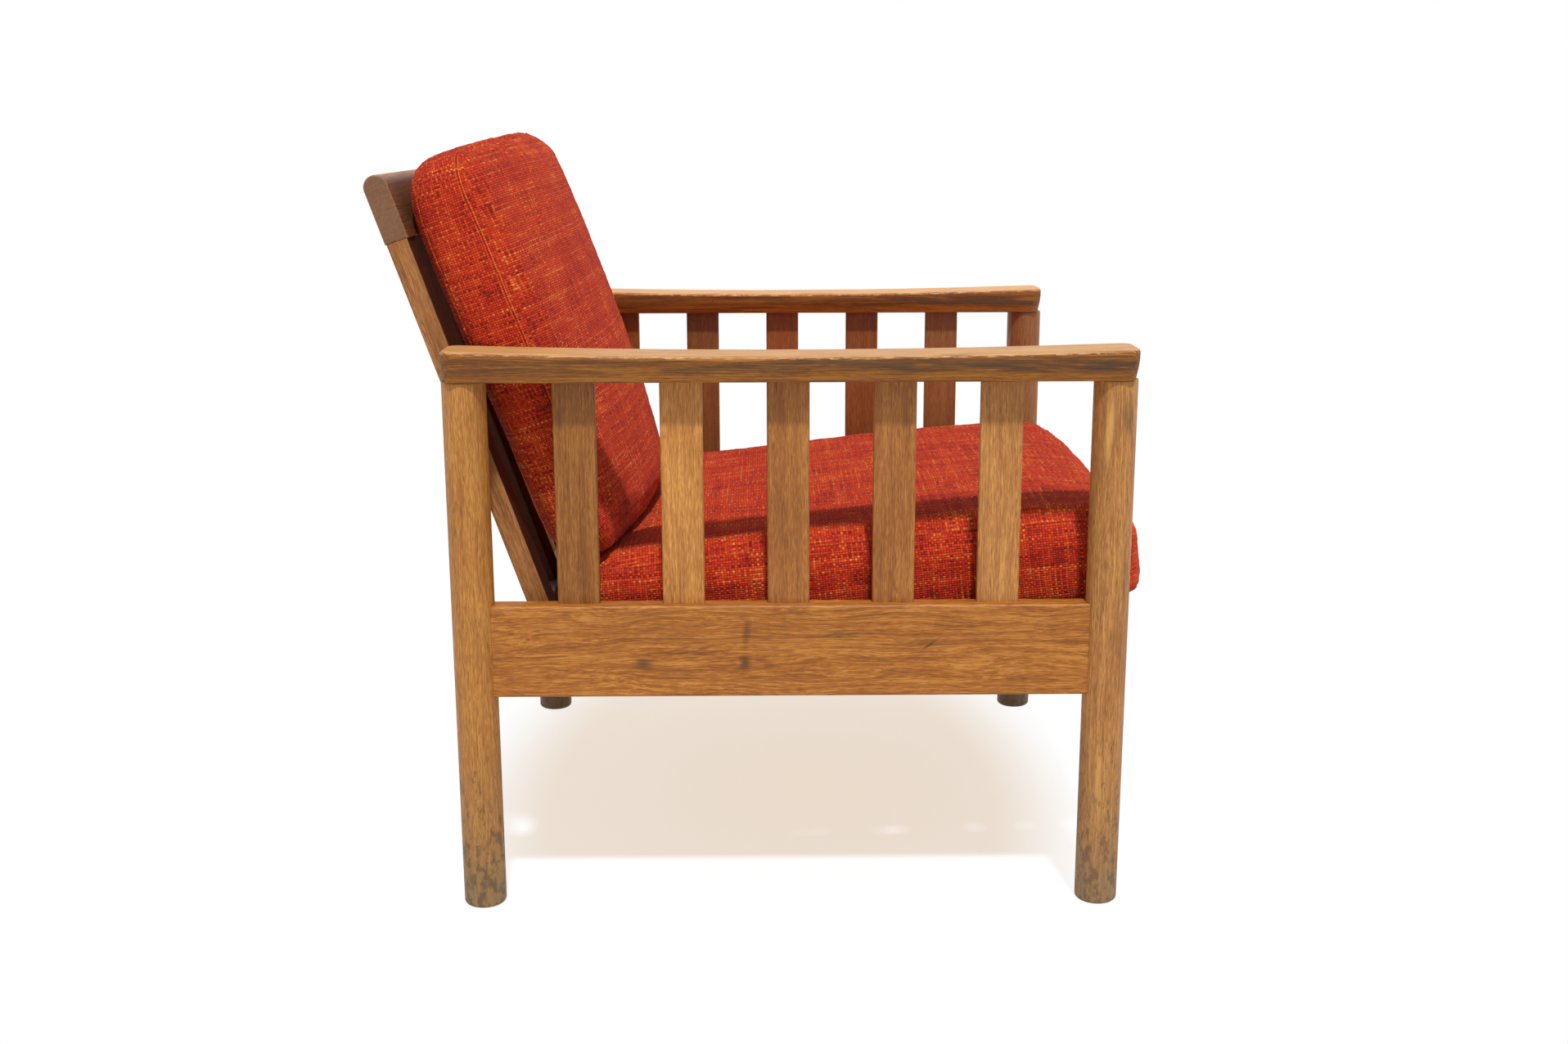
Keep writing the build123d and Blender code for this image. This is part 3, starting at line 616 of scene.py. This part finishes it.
class Tweed(Finish):
    """The cover of one cushion. Its weave lies in two maps, one for the large panels and one for the
    band round them."""

    def __init__(self, name, run_axis, thread):
        colours = bpy.context.scene.chair_cloth
        super().__init__(name, colours, colours.red)
        self.sizes, self.thread = bpy.context.scene.chair_sizes, thread
        self.front_seam = self.add("Attribute", attribute_name="front_seam").outputs["Fac"]
        past_fold = self.add("Attribute", attribute_name="past_fold").outputs["Fac"]
        on_panel = self.add("Math", {0: past_fold, 1: 0.0}, "GREATER_THAN")
        band = self.add("UVMap", uv_map="band")
        panel = self.add("UVMap", uv_map="panel")
        cloth = self.add("Mix", {"Factor": on_panel, 4: band, 5: panel}, data_type="VECTOR")
        self.cloth = cloth.outputs[1]
        self.run = self.add("SeparateXYZ", {0: band}).outputs[run_axis]

    def hump(self, cell):
        """The rise and fall of a yarn over one cell."""
        share = self.add("Math", {0: cell}, "FRACT")
        turn = self.add("Math", {0: share, 1: math.pi}, "MULTIPLY")
        return self.add("Math", {0: turn}, "SINE")

    def yarn_tone(self, along, number, slub, seed, spread):
        """The tone of one yarn: its own, and the slow change along it."""
        place = self.add("CombineXYZ", {
            "X": self.add("Math", {0: along, 1: 1 / slub}, "MULTIPLY"),
            "Y": self.add("Math", {0: number, 1: YARN_STEP}, "MULTIPLY"), "Z": seed})
        slow = self.add("TexNoise", {"Vector": place, "Scale": 1.0, "Detail": 3.0, "Roughness": 0.65})
        own = self.add("TexWhiteNoise", {
            "W": self.add("Math", {0: number, 1: seed}, "ADD")}, noise_dimensions="1D")
        own = self.add("Math", {0: own, 1: spread, 2: YARN_MIDDLE - spread / 2}, "MULTIPLY_ADD")
        return self.add("Math", {0: slow, 1: SLUB_SHARE, 2: own}, "MULTIPLY_ADD")

    def line(self, middle, half_width, strength):
        """A line along the crowned panel's seam, this many millimetres from it."""
        away = self.away_from(middle, self.front_seam)
        return self.add("MapRange", {
            "Value": away, "From Min": half_width * 1.6, "From Max": half_width * 0.5,
            "To Max": strength * self.thread})

    def weave(self):
        """A plain weave: weft and warp lie on top by turns."""
        sizes, colours = self.sizes, self.colours
        wander = self.add("TexNoise", {"Vector": self.cloth, "Scale": WANDER_PER_METRE, "Detail": 2.0})
        wander = self.add("VectorMath", {0: wander.outputs["Color"], "Scale": WANDER_CELLS}, "SCALE")
        cells = self.add("VectorMath", {
            0: self.cloth, 1: (1 / sizes.warp_pitch, 1 / sizes.weft_pitch, 1), 2: wander},
            "MULTIPLY_ADD")
        cells = self.add("SeparateXYZ", {0: cells})
        place = self.add("SeparateXYZ", {0: self.cloth})
        column = self.add("Math", {0: cells.outputs["X"]}, "FLOOR")
        row = self.add("Math", {0: cells.outputs["Y"]}, "FLOOR")
        warp_on_top = self.add("Math", {0: column, 1: row}, "ADD")
        warp_on_top = self.add("Math", {0: warp_on_top, 1: 2.0}, "FLOORED_MODULO")
        lift = self.add("Math", {
            0: self.hump(cells.outputs["X"]), 1: self.hump(cells.outputs["Y"])}, "MULTIPLY")
        self.lift = self.add("Math", {0: lift}, "SQRT")

        self.weft = self.yarn_tone(place.outputs["X"], row, *WEFT_YARN)
        warp = self.yarn_tone(place.outputs["Y"], column, *WARP_YARN)
        top = self.add("Mix", {"Factor": warp_on_top, "A": self.weft, "B": warp}, data_type="FLOAT")
        crossing = self.add("CombineXYZ", {"X": column, "Y": row})
        cell = self.add("TexWhiteNoise", {"Vector": crossing}, noise_dimensions="2D")
        patch = self.add("TexNoise", {"Vector": self.cloth, "Scale": 1 / PATCH_SIZE, "Detail": 2.0})
        shade = self.add("Math", {0: top, 1: SHADE_SHIFT}, "SUBTRACT")
        for layer, share in ((patch, CLOTH_PATCH_SHARE), (cell, CELL_SHARE)):
            shade = self.add("Math", {0: layer, 1: share, 2: shade}, "MULTIPLY_ADD")
        self.top = self.add("ValToRGB", {"Fac": shade}, stops=[
            (0.30, colours.maroon), (0.50, colours.red), (0.71, colours.orange),
            (0.88, colours.amber)])

    def show_fibres(self):
        """Single fibres of amber over the yarns, and painted shade in the hollows between these."""
        fibre = self.add("Mapping", {
            "Vector": self.cloth, "Scale": (0.4 / FLECK_SIZE, 1 / FLECK_SIZE, 1)})
        fibre = self.add("TexNoise", {"Vector": fibre, "Scale": 1.0, "Detail": 2.0})
        fleck = self.add("MapRange", {
            "Value": fibre, "From Min": 0.62, "From Max": 0.72, "To Max": 0.75})
        fleck = self.add("Math", {0: fleck, 1: self.weft}, "MULTIPLY", use_clamp=True)
        self.lay_over(fleck, self.colours.amber)
        # Painted shade: the colour darkens where the yarns dip between their humps
        hollow = self.add("MapRange", {
            "Value": self.lift, "From Min": 0.15, "From Max": 0.85, "To Min": 0.46})
        self.top = self.add("Mix", {
            "Factor": 1.0, "A": self.top, "B": hollow}, data_type="RGBA", blend_type="MULTIPLY")

    def sew_seams(self):
        """A turned edge of orange thread beside a dark gully of painted shade, and a second row of
        stitches.
        """
        # Painted shade: maroon lines in and beside the seam's gully
        for line in GULLY_LINES:
            self.lay_over(self.line(*line), self.colours.maroon)
        stitches = self.add("Math", {0: self.run, 1: 1 / STITCH}, "MULTIPLY")
        stitches = self.add("Math", {0: self.hump(stitches), 1: 0.6, 2: 0.5}, "MULTIPLY_ADD")
        for line in THREAD_LINES:
            share = self.add("Math", {0: self.line(*line), 1: stitches}, "MULTIPLY", use_clamp=True)
            self.lay_over(share, self.colours.thread)

    def build(self):
        self.weave()
        self.show_fibres()
        self.sew_seams()
        hairs = self.add("TexNoise", {"Vector": self.cloth, "Scale": HAIRS_PER_METRE, "Detail": 2.0})
        height = self.add("Math", {0: hairs, 1: 0.22, 2: self.lift}, "MULTIPLY_ADD")
        bump = self.add("Bump", {"Height": height, "Strength": 0.7, "Distance": 0.0010})
        shader = self.add("BsdfPrincipled", {
            "Base Color": self.top, "Roughness": 0.92, "Normal": bump, "Specular IOR Level": 0.25,
            "Sheen Weight": 0.5, "Sheen Roughness": 0.45, "Sheen Tint": (*linear("#E25A44"), 1)})
        self.add("OutputMaterial", {"Surface": shader})
        return self.material


def read(items, key, kind=float, width=1):
    """A value of each item of a mesh, this many numbers wide."""
    values = np.empty(len(items) * width, kind)
    items.foreach_get(key, values)
    return values


def read_points(mesh):
    return read(mesh.vertices, "co", width=3).reshape(-1, 3)


def write_points(mesh, points):
    mesh.vertices.foreach_set("co", points.ravel())
    mesh.update()


def read_normals(mesh):
    return read(mesh.vertex_normals, "vector", width=3).reshape(-1, 3)


def deselect_all():
    for piece in bpy.context.selected_objects:
        piece.select_set(False)


def select_only(piece):
    deselect_all()
    piece.select_set(True)
    bpy.context.view_layer.objects.active = piece


def apply_modifier(piece, kind, **settings):
    """Adds a modifier, sets it and applies it."""
    modifier = piece.modifiers.new(kind.title(), kind)
    for key, value in settings.items():
        setattr(modifier, key, value)
    select_only(piece)
    bpy.ops.object.modifier_apply(modifier=modifier.name)


def tilt(angle):
    """A turn about the X axis."""
    cos, sin = math.cos(angle), math.sin(angle)
    return Matrix(((1, 0, 0, 0), (0, cos, -sin, 0), (0, sin, cos, 0), (0, 0, 0, 1)))


def soft_copy(name, node, place):
    """A copy of a cushion's solid, laid flat in the cushion's own place with its resting face at Z = 0
    and its middle over the origin."""
    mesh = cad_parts[node].data.copy()
    piece = bpy.data.objects.new(name, mesh)
    bpy.context.scene.collection.objects.link(piece)
    mesh.materials.clear()
    work = bmesh.new()
    work.from_mesh(mesh)
    bmesh.ops.remove_doubles(work, verts=work.verts, dist=1e-5)
    bmesh.ops.recalc_face_normals(work, faces=work.faces)
    work.to_mesh(mesh)
    work.free()
    mesh.transform(place.inverted())
    points = read_points(mesh)
    low, high = points.min(0), points.max(0)
    middle = Vector(((low[0] + high[0]) / 2, (low[1] + high[1]) / 2, low[2]))
    mesh.transform(Matrix.Translation(-middle))
    return piece, place @ Matrix.Translation(middle), (high - low)


# How far the cover shrinks before it is filled, in metres, and the frames and settings of its filling
SHRINK = 0.0012
SOFT_FRAMES = 20
FILLING = {
    "quality": 5, "mass": 0.3, "tension_stiffness": 15, "compression_stiffness": 15,
    "shear_stiffness": 5, "bending_stiffness": 0.5, "use_pressure": True,
    "uniform_pressure_force": 4.0}


def puff(piece, swell):
    """Fills the cover with air: a short cloth simulation, of which only the outward movement is kept,
    and that no further than the swell."""
    scene = bpy.context.scene
    before, normals = read_points(piece.data), read_normals(piece.data)
    cloth = piece.modifiers.new("Filling", "CLOTH")
    for key, value in FILLING.items():
        setattr(cloth.settings, key, value)
    cloth.settings.effector_weights.gravity = 0
    cloth.collision_settings.use_collision = False
    cloth.point_cache.frame_start = 1
    cloth.point_cache.frame_end = SOFT_FRAMES
    for step in range(1, SOFT_FRAMES + 1):
        scene.frame_set(step)
    select_only(piece)
    bpy.ops.object.modifier_apply(modifier=cloth.name)
    scene.frame_set(1)
    outward = ((read_points(piece.data) - before) * normals).sum(1)
    kept = swell * np.tanh(np.maximum(outward, 0) / swell)
    write_points(piece.data, before + normals * kept[:, None])


def lumps(points, scale, seed):
    """Smooth noise over the points, from -1 to 1."""
    shift = Vector((seed, 0, 0))
    return np.array([noise.noise(Vector(p) * scale + shift) for p in points])


def fade(value, start, end):
    """0 before start, 1 after end, smooth between."""
    share = np.clip((value - start) / (end - start), 0, 1)
    return share * share * (3 - 2 * share)


def run_round(points, half, corner):
    """How far along the rounded outline each point lies, going round from the middle of the rear, and
    the length of the whole outline."""
    x, y = points[:, 0], points[:, 1]
    straight_x, straight_y = half[0] - corner, half[1] - corner
    quarter = math.pi / 2 * corner
    away_x, away_y = np.abs(x) - straight_x, np.abs(y) - straight_y
    angle = np.arctan2(np.maximum(away_x, 0), np.maximum(away_y, 0) + 1e-9)
    in_corner = (away_x > 0) & (away_y > 0)
    quadrant = np.where(
        in_corner, straight_x + angle * corner,
        np.where(away_x > away_y, straight_x + quarter + (straight_y - np.abs(y)), np.abs(x)))
    total = straight_x + quarter + straight_y
    run = np.where(y > 0, quadrant, 2 * total - quadrant)
    return np.where(x >= 0, run, 4 * total - run), 4 * total


# Size and height of the lumps in the filling and of the slubs that break the outline
LUMPS = ((0.110, 0.0013), (0.038, 0.0009), (0.0064, 0.0009))

# Along a seam, in metres from it: how far the mesh is refined, its gully, and place and width of the
# ridges beside it
SEAM_ZONE = 0.0085
GULLY_PLACE = -0.0017
GULLY_WIDTH = 0.0014
RIDGE_HEIGHT = 0.0009
RIDGES = ((0.0012, 0.0014), (-0.0052, 0.0028))

# The cover's attributes are in millimetres and stop this far from the seam
MILLIMETRES = 1000
SEAM_FAR = 50.0


@dataclass
class Cushion:
    """One cushion. Its crown is two radii, across and along. A seam is a distance from its panel, and
    the weave turns this far past the crowned one, at its fold. Thread and pull are how much its
    stitches show and draw in. All lengths are in metres."""

    node: str
    place: Matrix
    crown: tuple
    corner: float
    front_seam: float
    rear_seam: float
    fold: float
    thread: float
    pull: float
    rows_along_band: bool

    def __post_init__(self):
        self.piece, self.place, size = soft_copy(f"{self.node}_cover", self.node, self.place)
        self.half, self.thickness = size[:2] / 2, size[2]

    def seam_gaps(self, points):
        """Distance of each point from the crowned seam and from the resting seam, positive on the
        panels."""
        across, along = self.crown
        drop = points[:, 0] ** 2 / (2 * across) + points[:, 1] ** 2 / (2 * along)
        front = points[:, 2] - (self.thickness - drop - self.front_seam)
        rear = self.rear_seam - points[:, 2]
        return front * math.sqrt(2), rear * math.sqrt(2)

    def puff_up(self):
        """Remeshes the copy, fills it and gives it its lumps."""
        sizes, piece = bpy.context.scene.chair_sizes, self.piece
        apply_modifier(piece, "REMESH", mode="VOXEL", voxel_size=sizes.voxel)
        apply_modifier(piece, "DISPLACE", strength=-SHRINK, mid_level=0.0)
        puff(piece, sizes.swell)
        apply_modifier(piece, "SUBSURF", levels=1, render_levels=1)
        points, normals = read_points(piece.data), read_normals(piece.data)
        lift = sum(height * lumps(points, 1 / size, size) for size, height in LUMPS)
        points = points + normals * lift[:, None]
        points[:, 0] = np.clip(points[:, 0], -self.half[0], self.half[0])
        write_points(piece.data, points)

    def sew(self):
        """Draws the cover in along its seams, beside low ridges."""
        piece = self.piece
        depth = bpy.context.scene.chair_sizes.seam_depth * self.pull
        front, rear = self.seam_gaps(read_points(piece.data))
        near = (np.abs(front) < SEAM_ZONE) | (np.abs(rear) < SEAM_ZONE)
        mesh = bmesh.new()
        mesh.from_mesh(piece.data)
        edges = [edge for edge in mesh.edges if all(near[end.index] for end in edge.verts)]
        bmesh.ops.subdivide_edges(mesh, edges=edges, cuts=1, use_grid_fill=True)
        mesh.to_mesh(piece.data)
        mesh.free()
        points, normals = read_points(piece.data), read_normals(piece.data)
        front, rear = self.seam_gaps(points)
        pull = np.zeros(len(points))
        for gap in (front, rear):
            pull -= depth * np.exp(-((gap - GULLY_PLACE) / GULLY_WIDTH) ** 2)
            for middle, width in RIDGES:
                pull += RIDGE_HEIGHT * np.exp(-((gap - middle) / width) ** 2)
        write_points(piece.data, points + normals * pull[:, None])
        past_fold = np.maximum(front - self.fold, rear)
        for name, gap in (("past_fold", past_fold), ("front_seam", front)):
            values = piece.data.attributes.new(name, "FLOAT", "POINT").data
            gap = np.clip(gap * MILLIMETRES, -SEAM_FAR, SEAM_FAR)
            values.foreach_set("value", gap.astype(np.float32))

    def lay_weave(self):
        """Unrolls the cover twice, in metres with the rows along U: as flat panels and as the band."""
        mesh = self.piece.data
        points = read_points(mesh)
        run, total = run_round(points, self.half, self.corner)
        corners = read(mesh.loops, "vertex_index", int)
        starts = read(mesh.polygons, "loop_start", int)
        counts = read(mesh.polygons, "loop_total", int)
        (x, y, z), way = points[corners].T, run[corners]
        first = np.repeat(way[starts], counts)
        way = way - total * np.round((way - first) / total)
        panel, band = ((y, x), (way, z)) if self.rows_along_band else ((x, y), (z, way))
        for name, pair in (("panel", panel), ("band", band)):
            places = (np.stack(pair, 1) + 1.0).astype(np.float32)
            mesh.uv_layers.new(name=name).data.foreach_set("uv", places.ravel())

    def make(self, settle):
        """Makes the cover, gives it the set of its place and use, dresses it in tweed and attaches it
        to the root.
        """
        self.puff_up()
        self.sew()
        self.lay_weave()
        piece = self.piece
        points = settle(read_points(piece.data), self.half, self.thickness)
        write_points(piece.data, points)
        piece.data.transform(self.place)
        select_only(piece)
        bpy.ops.object.shade_smooth()
        run_axis = "X" if self.rows_along_band else "Y"
        tweed = Tweed(f"wool_tweed_{self.node}", run_axis, self.thread)
        piece.data.materials.append(tweed.build())
        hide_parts(self.node)
        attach(piece, "root")


# The seat in metres: droop of the front edge and the depth behind it that shares it, hollow under the
# sitter, and how far the nose is drawn in
FRONT_DROOP = 0.011
DROOP_DEPTH = 0.11
SITTER_HOLLOW = 0.003
NOSE_PULL = 0.004
NOSE_DEPTH = 0.05

# The back in metres: curl of its sides low down and what the top adds, where these begin, and curl of
# its ends
SIDE_CURL = 0.008
SIDE_CURL_UP = 0.015
CURL_START = 0.17
END_CURL = 0.006
END_CURL_DEPTH = 0.07


def settle_seat(points, half, thickness):
    """The front edge droops between its corners, and the sitter has hollowed the middle a little."""
    x, y, z = points.T
    upper = fade(z, 0.03, thickness)
    middle = 1 - (x / half[0]) ** 2
    droop = FRONT_DROOP * fade(-y, half[1] - DROOP_DEPTH, half[1]) * (0.35 + 0.65 * middle)
    pull = NOSE_PULL * fade(-y, half[1] - NOSE_DEPTH, half[1])
    points[:, 2] = np.maximum(z - upper * (droop + SITTER_HOLLOW * middle), 0)
    points[:, 1] = y + pull * upper * middle
    return points


def settle_back(points, half, thickness):
    """It lies flat on the slats and its sides and ends curl away from the stiles."""
    x, y, z = points.T
    rear = (1 - fade(z, 0, thickness)) ** 1.5
    side = (SIDE_CURL + SIDE_CURL_UP * fade(-y, -0.12, 0.18)) * fade(
        np.abs(x), CURL_START, half[0] + 0.02)
    end = END_CURL * fade(np.abs(y), half[1] - END_CURL_DEPTH, half[1])
    points[:, 2] = np.maximum(z, 0) + rear * (side + end)
    return points


class CHAIR_OT_make_seat_cushion(bpy.types.Operator):
    """Makes the loose seat cushion, resting on the webbing"""

    bl_idname = "chair.make_seat_cushion"
    bl_label = "Make the seat cushion"

    def execute(self, context):
        cushion = Cushion(
            "seat_cushion", tilt(-DECK_SLOPE), crown=(2.8, 9.0), corner=0.052, front_seam=0.0105,
            rear_seam=0.0085, fold=0.0, thread=0.25, pull=0.6, rows_along_band=True)
        cushion.make(settle_seat)
        return {"FINISHED"}


class CHAIR_OT_make_back_cushion(bpy.types.Operator):
    """Makes the loose back cushion, leaning on the back frame"""

    bl_idname = "chair.make_back_cushion"
    bl_label = "Make the back cushion"

    def execute(self, context):
        cushion = Cushion(
            "back_cushion", tilt(math.pi / 2 - BACK_LEAN), crown=(0.9, 2.2), corner=0.042,
            front_seam=0.0150, rear_seam=0.0085, fold=0.0088, thread=0.9, pull=1.0,
            rows_along_band=False)
        cushion.make(settle_back)
        return {"FINISHED"}


# Camera, measured from the photograph: place in metres, turns in radians, lens in millimetres
CAMERA_PLACE = Vector((-2.02881, 0.00236, 0.80794))
CAMERA_PITCH = 0.2271
CAMERA_YAW = 0.010
CAMERA_ROLL = -0.0022
CAMERA_LENS = 39.78
CAMERA_FILM = 36.0

# The lamp's softness and colour, and the drift of its light to the rear
SUN_SOFTNESS = math.radians(4)
SUN_COLOUR = (1.0, 0.985, 0.96)
SUN_DRIFT = 0.05

# Floor: matt white paint, rolled. To the camera it is plain white but for the soft warm shade under the
# chair, which fades out between the two radii of an oval. Sizes are in metres.
STAGE_SIZE = 40.0
SHADE_SHAPE = (0.80, 1.55, 1)
SHADE_INNER = 0.40
SHADE_OUTER = 0.64
FLOOR_SHADE_TINT = (0.22, 0.34, 0.46)
WHITE = (1, 1, 1)


class CHAIR_OT_set_stage(bpy.types.Operator):
    """Sets the white floor, the lamps and the camera"""

    bl_idname = "chair.set_stage"
    bl_label = "Set the stage"

    def execute(self, context):
        self.floor(context.scene)
        self.lamps(context.scene)
        self.camera(context.scene)
        return {"FINISHED"}

    def white_to_camera(self, tree):
        """1 for rays that see the stage, 0 for rays that light the chair."""
        paths = add(tree, "LightPath")
        seen = paths.outputs["Is Camera Ray"]
        for ray in ("Is Glossy Ray", "Is Transmission Ray"):
            seen = add(tree, "Math", {0: seen, 1: paths.outputs[ray]}, "ADD", use_clamp=True)
        return seen

    def floor(self, scene):
        deselect_all()
        bpy.ops.mesh.primitive_plane_add(size=STAGE_SIZE)
        floor = bpy.context.object
        floor.name = "studio_floor"
        material, tree = start_material("painted_floor_white", linear("#F4F2EF"))
        place = add(tree, "TexCoord").outputs["Object"]
        place = add(tree, "Mapping", {"Vector": place, "Scale": SHADE_SHAPE})
        away = add(tree, "VectorMath", {0: place}, "LENGTH").outputs["Value"]
        near = add(tree, "MapRange", {
            "Value": away, "From Min": SHADE_OUTER, "From Max": SHADE_INNER,
            "To Max": scene.chair_stage.floor_shade}, **SMOOTH)
        tint = add(tree, "VectorMath", {0: FLOOR_SHADE_TINT, "Scale": near}, "SCALE")
        rest = add(tree, "VectorMath", {0: WHITE, 1: tint}, "SUBTRACT")
        seen = add(tree, "AddShader", {
            0: add(tree, "BsdfDiffuse", {"Color": tint}),
            1: add(tree, "Emission", {"Color": rest, "Strength": 1.0})})
        coat = add(tree, "BsdfDiffuse", {"Color": (*linear("#E9DFD3"), 1)})
        surface = add(tree, "MixShader", {0: self.white_to_camera(tree), 1: coat, 2: seen})
        add(tree, "OutputMaterial", {"Surface": surface})
        floor.data.materials.append(material)

    def lamps(self, scene):
        settings = scene.chair_stage
        lamp = bpy.data.lights.new("key_lamp", "SUN")
        lamp.energy = settings.sun_strength
        lamp.angle = SUN_SOFTNESS
        lamp.color = SUN_COLOUR
        key = bpy.data.objects.new("key_lamp", lamp)
        scene.collection.objects.link(key)
        height = settings.sun_height
        travel = Vector((math.cos(height), SUN_DRIFT, -math.sin(height)))
        key.rotation_euler = travel.to_track_quat("-Z", "Y").to_euler()
        world = bpy.data.worlds.new("studio")
        scene.world = world
        world.use_nodes = True
        tree = world.node_tree
        tree.nodes.clear()
        fill = add(tree, "Background", {"Color": (*WHITE, 1), "Strength": settings.sky})
        white = add(tree, "Background", {"Color": (*WHITE, 1), "Strength": 1.0})
        sky = add(tree, "MixShader", {0: self.white_to_camera(tree), 1: fill, 2: white})
        add(tree, "OutputWorld", {"Surface": sky})

    def camera(self, scene):
        lens = bpy.data.cameras.new("photo_camera")
        lens.sensor_width = CAMERA_FILM
        lens.lens = CAMERA_LENS
        lens.clip_end = 50
        camera = bpy.data.objects.new("photo_camera", lens)
        scene.collection.objects.link(camera)
        forward = Vector((
            math.cos(CAMERA_YAW) * math.cos(CAMERA_PITCH),
            -math.sin(CAMERA_YAW) * math.cos(CAMERA_PITCH), -math.sin(CAMERA_PITCH)))
        level = Vector((-math.sin(CAMERA_YAW), -math.cos(CAMERA_YAW), 0))
        upward = level.cross(forward)
        right = level * math.cos(CAMERA_ROLL) + upward * math.sin(CAMERA_ROLL)
        upward = right.cross(forward)
        turned = Matrix((right, upward, -forward)).transposed().to_4x4()
        camera.matrix_world = Matrix.Translation(CAMERA_PLACE) @ turned
        scene.camera = camera
        scene.view_settings.view_transform = "Standard"


OPERATORS = (
    CHAIR_OT_set_stage, CHAIR_OT_dress_oak, CHAIR_OT_dress_fittings, CHAIR_OT_make_seat_cushion,
    CHAIR_OT_make_back_cushion)
GROUPS = {
    "chair_oak": ChairOakColours, "chair_cloth": ChairClothColours, "chair_sizes": ChairClothSizes,
    "chair_stage": ChairStage}


class CHAIR_PT_panel(bpy.types.Panel):
    """Lists what the chair is made of"""

    bl_idname = "CHAIR_PT_panel"
    bl_label = "Easy Chair"
    bl_space_type = "VIEW_3D"
    bl_region_type = "UI"
    bl_category = "Easy Chair"

    def draw(self, context):
        for operator in OPERATORS:
            self.layout.operator(operator.bl_idname)
        for group, kind in GROUPS.items():
            box = self.layout.box()
            for name in kind.__annotations__:
                box.prop(getattr(context.scene, group), name)


CLASSES = (*GROUPS.values(), *OPERATORS, CHAIR_PT_panel)


def register():
    for kind in CLASSES:
        bpy.utils.register_class(kind)
    for name, kind in GROUPS.items():
        setattr(bpy.types.Scene, name, bpy.props.PointerProperty(type=kind))


def unregister():
    for name in GROUPS:
        delattr(bpy.types.Scene, name)
    for kind in reversed(CLASSES):
        bpy.utils.unregister_class(kind)


def main():
    register()
    bpy.ops.chair.set_stage()
    bpy.ops.chair.dress_oak()
    bpy.ops.chair.dress_fittings()
    bpy.ops.chair.make_seat_cushion()
    bpy.ops.chair.make_back_cushion()


if __name__ == "__main__":
    main()
